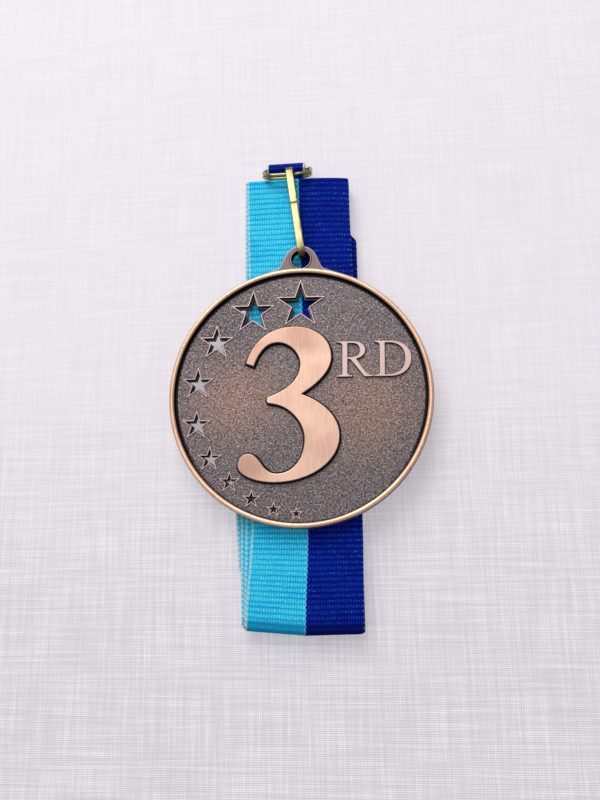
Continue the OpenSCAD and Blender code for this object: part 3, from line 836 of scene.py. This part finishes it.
def bundle_route():
    """The ribbon's middle line as (y, z, side shift, width, royal share, normal in Y and Z, rib pitch)."""
    rows = []
    last = len(PLY_ORDER) - 1
    for i, ply in enumerate(PLY_ORDER):
        falling = i % 2 == 0
        far, near = TOP_Y - FOLD_OUT, LOW_Y + FOLD_OUT
        start, end = (far, near) if falling else (near, far)
        if i == 3:
            end = TOP_Y - PLY_PITCH / 2 - PLY_T / 2
        if i == 4:
            start = TOP_Y - PLY_PITCH / 2 - PLY_T / 2
        steps = int(abs(end - start) / (RIB / (8 if ply == 7 else 4)))
        sign = -1 if falling else 1
        for k in range(steps + 1):
            y = mix(start, end, k / steps)
            gather = smooth((y - 22) / 20) if ply < 2 else 0.0
            rows.append((y, ply_z(ply), mix(drift(ply, y), EYE_X - RIBBON_X, gather),
                         mix(width(ply, y), EYE_W, gather), gather, (0.0, sign), pitch(ply, y)))
        if i == last:
            break
        nxt = PLY_ORDER[i + 1]
        r = abs(nxt - ply) * PLY_PITCH / 2
        zc = (ply_z(ply) + ply_z(nxt)) / 2
        way = 1 if nxt > ply else -1
        arcs = max(6, int(math.pi * r / (RIB / 8)))
        for k in range(1, arcs):
            a = math.pi * k / arcs
            y = end - r * math.sin(a) if falling else end + r * math.sin(a)
            z = zc - way * r * math.cos(a)
            shift = mix(drift(ply, end), drift(nxt, end), smooth(k / arcs))
            wide = mix(width(ply, end), width(nxt, end), smooth(k / arcs))
            rows.append((y, z, shift, wide, 0.0, (math.sin(a) * way, sign * math.cos(a)), RIB))
    return rows


def eye_route():
    """From the lowest ply round the ring's wires and back to the ply above it."""
    y0, z0, r = EYE_AT[1], EYE_AT[2], EYE_R
    far = TOP_Y - FOLD_OUT
    shift = EYE_X - RIBBON_X
    rows = []
    for k in range(1, 16):
        t = k / 16
        rows.append((mix(far, y0, t), mix(ply_z(0), z0 - r, smooth(t)), (0.0, 1.0)))
    for k in range(0, 61):
        a = math.radians(mix(-90, 205, k / 60))
        slack = 0.35 * max(0.0, math.cos(a))
        rows.append((y0 + (r + slack) * math.cos(a), z0 + r * math.sin(a), (-math.cos(a), -math.sin(a))))
    y1, z1 = rows[-1][0], rows[-1][1]
    for k in range(1, 12):
        t = k / 12
        rows.append((mix(y1, far, t), mix(z1, ply_z(1), 1 - (1 - t) ** 2), (smooth(1 - t), -smooth(t))))
    return [(y, z, shift, EYE_W, 1.0, normal, RIB) for y, z, normal in rows]


def end_shape(x, y):
    """The small slant of the folds at both ends of the bundle."""
    if y < -20:
        k = 0.08 * -(x - 0.3) if x < 0.3 else 0.02 * (x - 0.3)
        return k * smooth((-20 - y) / 22)
    if y > 20:
        return (0.1 - 0.0065 * max(x - 1.0, 0) ** 2) * smooth((y - 20) / 22)
    return 0.0


def ribbon():
    rows = bundle_route()
    # The route starts and ends on the tail, which the eye joins into one closed band
    rows += eye_route()[::-1]
    half_columns = [0.05, 0.2, 0.4, 0.6, 0.8, 0.93, 0.975, 0.992, 1]
    columns = [-c for c in half_columns[::-1]] + half_columns
    b = Build()
    rng = random.Random(7)
    wobble = [rng.uniform(-1, 1) for _ in range(2000)]
    faces_up, faces_low, maps = [], [], []
    along = ribs = 0.0
    for i, (y, z, shift, wide, royal, (ny, nz), rib) in enumerate(rows):
        if i:
            step = math.hypot(y - rows[i - 1][0], z - rows[i - 1][1])
            along += step
            ribs += step / rib
        phase = math.cos(TAU * ribs)
        relief = mix(0.032, 0.055, smooth((y + 44) / 89))
        thick = 0.22 - relief + relief * phase + 0.008 * wobble[int(ribs) % len(wobble)]
        upper, lower, uv = [], [], []
        for c in columns:
            swell = 0.07 * phase if abs(c) > 0.97 else 0.0
            x = RIBBON_X + shift + c * wide / 2 + math.copysign(swell, c)
            thin = math.sqrt(max(0.0, 1 - ((abs(c) - 0.93) / 0.08) ** 2)) if abs(c) > 0.93 else 1.0
            half = thick * max(thin, 0.45)
            slant = end_shape(x, y)
            upper.append((x, y + slant - ny * half, z + nz * half))
            lower.append((x, y + slant + ny * half, z - nz * half))
            uv.append((c * RIBBON_W / 2, ribs))
        # Painted shade: the upper plies are darkened over the last few millimetres before the lower fold
        fold_shade = smooth((LOW_Y + 2.6 - y) / 1.0) if z > STACK_H / 2 else 0.0
        faces_up.append(b.ring(upper, royal))
        faces_low.append(b.ring(lower, royal))
        b.fold_shade += [fold_shade] * (2 * len(columns))
        maps.append(uv)
    n = len(rows)
    uvs = []

    def quad(i, j, k, rings, flip):
        corners = [rings[i][k], rings[i][k + 1], rings[j][k + 1], rings[j][k]]
        coords = [maps[i][k], maps[i][k + 1], maps[j][k + 1], maps[j][k]]
        if j < i:
            # The last row joins the first, and the map runs on
            coords = coords[:2] + [(maps[j][k + 1][0], ribs + 0.1), (maps[j][k][0], ribs + 0.1)]
        if flip:
            corners, coords = corners[::-1], coords[::-1]
        b.face(corners)
        uvs.extend(coords)

    last_c = len(columns) - 1
    for i in range(n):
        j = (i + 1) % n
        for k in range(last_c):
            quad(i, j, k, faces_up, True)
            quad(i, j, k, faces_low, False)
        for k, flip in ((0, True), (last_c, False)):
            corners = [faces_up[i][k], faces_low[i][k], faces_low[j][k], faces_up[j][k]]
            b.face(corners[::-1] if flip else corners)
            uvs.extend([maps[i][k]] * 4)
    made = b.object("ribbon_strip", WEAVE, angle=60)
    layer = made.data.uv_layers.new(name="Weave")
    layer.data.foreach_set("uv", [v for pair in uvs for v in pair])
    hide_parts("neck_ribbon")
    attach(made, "ribbon")


def stitching():
    """Thread loops through the sewn tail."""
    low, high = box_mm("ribbon_stitching")
    thread = 0.15
    count = 5
    spacing = EYE_W / count
    b = Build()
    y = (low[1] + high[1]) / 2
    z, h = (low[2] + high[2]) / 2, (high[2] - low[2]) / 2 - thread
    for i in range(count):
        x = EYE_X + (i - (count - 1) / 2) * spacing
        w, r = 0.5 - thread, 0.12
        corners = ((w - r, h - r, 0), (r - w, h - r, 90), (r - w, r - h, 180), (w - r, r - h, 270))
        loop = [p for cx, cz, a in corners for p in arc(cx, cz, r, a, a + 90, 4)]
        path = [Vector((x + px, y + 0.05 * math.sin(i * 2.4), z + pz)) for px, pz in loop]
        section = arc(0, 0, thread, 0, 360, 10)[:-1]
        sweep(b, path, [section] * len(path), [0.5] * len(path), closed=True, side=Vector((0, 1, 0)))
    made = b.object("thread_loops", THREAD)
    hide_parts("ribbon_stitching")
    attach(made, "ribbon")


# ---------------------------------------------------------------- camera, floor and light
def camera():
    data = bpy.data.cameras.new("camera")
    data.sensor_width = 36
    data.lens = 33.5
    data.clip_start = 0.01
    cam = bpy.data.objects.new("camera", data)
    cam.location = (13.48 * MM, -30.31 * MM, 142.2 * MM)
    cam.rotation_euler = [math.radians(a) for a in (11.95, 5.81, -0.86)]
    scene.collection.objects.link(cam)
    scene.camera = cam


def floor():
    mesh = bpy.data.meshes.new("floor")
    s = 0.6
    corners = [(x, y, -0.0001) for x, y in ((-s, -s), (s, -s), (s, s), (-s, s))]
    mesh.from_pydata(corners, [], [(0, 1, 2, 3)])
    n = Nodes("linen")
    place = n.add("TexCoord").outputs["Object"]
    parts = n.add("SeparateXYZ", {"Vector": place})
    wander_x = n.noise(n.scaled(place, (2600, 130, 1)), 1.0, 2.0)
    wander_y = n.noise(n.scaled(place, (130, 2600, 1)), 1.0, 2.0)
    threads = TAU / 0.00038
    warp = n.math("MULTIPLY_ADD", wander_x, 4.0, n.math("MULTIPLY", parts.outputs[0], threads))
    weft = n.math("MULTIPLY_ADD", wander_y, 4.0, n.math("MULTIPLY", parts.outputs[1], threads))
    warp, weft = n.math("SINE", warp), n.math("SINE", weft)
    cloth = n.math("ADD", n.math("MULTIPLY", warp, wander_x), n.math("MULTIPLY", weft, wander_y))
    slub_x = n.noise(n.scaled(place, (1500, 60, 1)), 1.0, 2.0)
    slub_y = n.noise(n.scaled(place, (60, 1500, 1)), 1.0, 2.0)
    slub = n.math("ADD", slub_x, slub_y)
    shade = n.math("MULTIPLY_ADD", cloth, 0.45, slub)
    # Painted shade: the cloth is darker and a little greyer towards its near end, and its weave shows
    # stronger there
    near = n.ramp(parts.outputs[1], 0.015, -0.06)
    contrast = n.math("ADD", near, 0.3)
    shade = n.math("MULTIPLY_ADD", n.math("SUBTRACT", shade, 1.0), contrast, 1.0)
    shade = n.math("MULTIPLY_ADD", near, -0.22, shade)
    colour = n.blend(n.ramp(shade, 0.5, 1.5), linear(173, 168, 174), linear(196, 193, 197))
    # Painted light: the floor glows in its own colour, which lifts the shadows round the medal
    painted_glow = n.blend(n.ramp(shade, 0.5, 1.5), linear(212, 206, 213), linear(240, 236, 241))
    n.surface(base_color=colour, roughness=0.95, normal=n.bump(shade, 0.00012, 0.7))
    n.shader.inputs["Specular IOR Level"].default_value = 0.05
    n.join(painted_glow, n.shader.inputs["Emission Color"])
    n.shader.inputs["Emission Strength"].default_value = 0.49
    mesh.materials.append(n.material)
    made = bpy.data.objects.new("floor", mesh)
    scene.collection.objects.link(made)


def area_light(name, at, aim, size, power, colour):
    data = bpy.data.lights.new(name, "AREA")
    data.size = size
    data.energy = power
    data.color = colour
    lamp = bpy.data.objects.new(name, data)
    lamp.location = at
    lamp.rotation_euler = (Vector(aim) - Vector(at)).to_track_quat("-Z", "Y").to_euler()
    scene.collection.objects.link(lamp)


def lights():
    area_light("window", (-0.12, 0.42, 0.42), (0, 0.02, 0), 0.42, 2.7, (1.0, 0.99, 0.99))
    area_light("ceiling", (-0.1, 0.05, 0.8), (0, 0, 0), 0.9, 2.1, (1.0, 0.99, 1.0))
    world = bpy.data.worlds.new("world")
    scene.world = world
    world.use_nodes = True
    sky = world.node_tree.nodes["Background"]
    sky.inputs[0].default_value = (0.96, 0.95, 0.97, 1)
    sky.inputs[1].default_value = 0.26


scene.view_settings.view_transform = "Standard"
COPPER = antique_copper()
BRASS = pale_brass()
WEAVE = ribbon_weave()
THREAD = sewing_thread()
camera()
floor()
lights()
medal_disc()
strap_link()
split_ring()
ribbon()
stitching()
